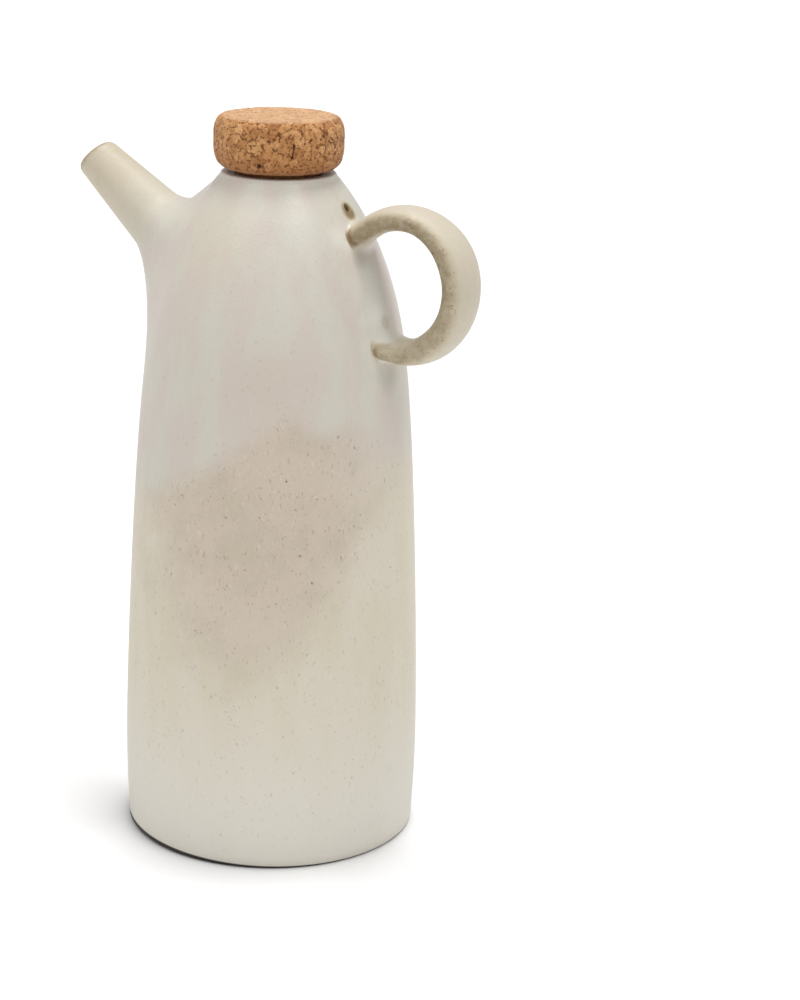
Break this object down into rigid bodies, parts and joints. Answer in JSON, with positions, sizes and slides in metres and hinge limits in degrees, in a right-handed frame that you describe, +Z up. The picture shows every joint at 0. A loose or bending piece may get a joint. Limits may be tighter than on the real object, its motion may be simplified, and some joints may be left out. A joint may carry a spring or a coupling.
{
  "type": "oil bottle",
  "caption": "Tall bullet-shaped stoneware oil bottle with a flat base, a rising side spout, an ear-shaped strap handle opposite it and a cork stopper that lifts out.",
  "frame": {"origin": "centre of the flat base, on the surface that the bottle stands on", "axes": "+Z up along the bottle's axis, spout towards -X, handle towards +X"},
  "size_m": [0.1319, 0.0904, 0.2199],
  "materials": {
    "glaze": "satin oatmeal-white stoneware glaze, mottled and speckled, breaking to ochre on edges",
    "ochre_glaze": "the same glaze worn thin over the strap, tan and ochre",
    "cork": "sanded agglomerated cork with dark pits between the granules"
  },
  "bodies": {
    "vessel": {"body": "glaze", "spout": "glaze", "handle": "ochre_glaze"},
    "stopper": {"cork_stopper": "cork"}
  },
  "joints": [
    {"name": "cork_lift", "type": "slide", "parent": "vessel", "child": "stopper", "axis": [0, 0, 1], "range_m": [0, 0.05]}
  ]
}
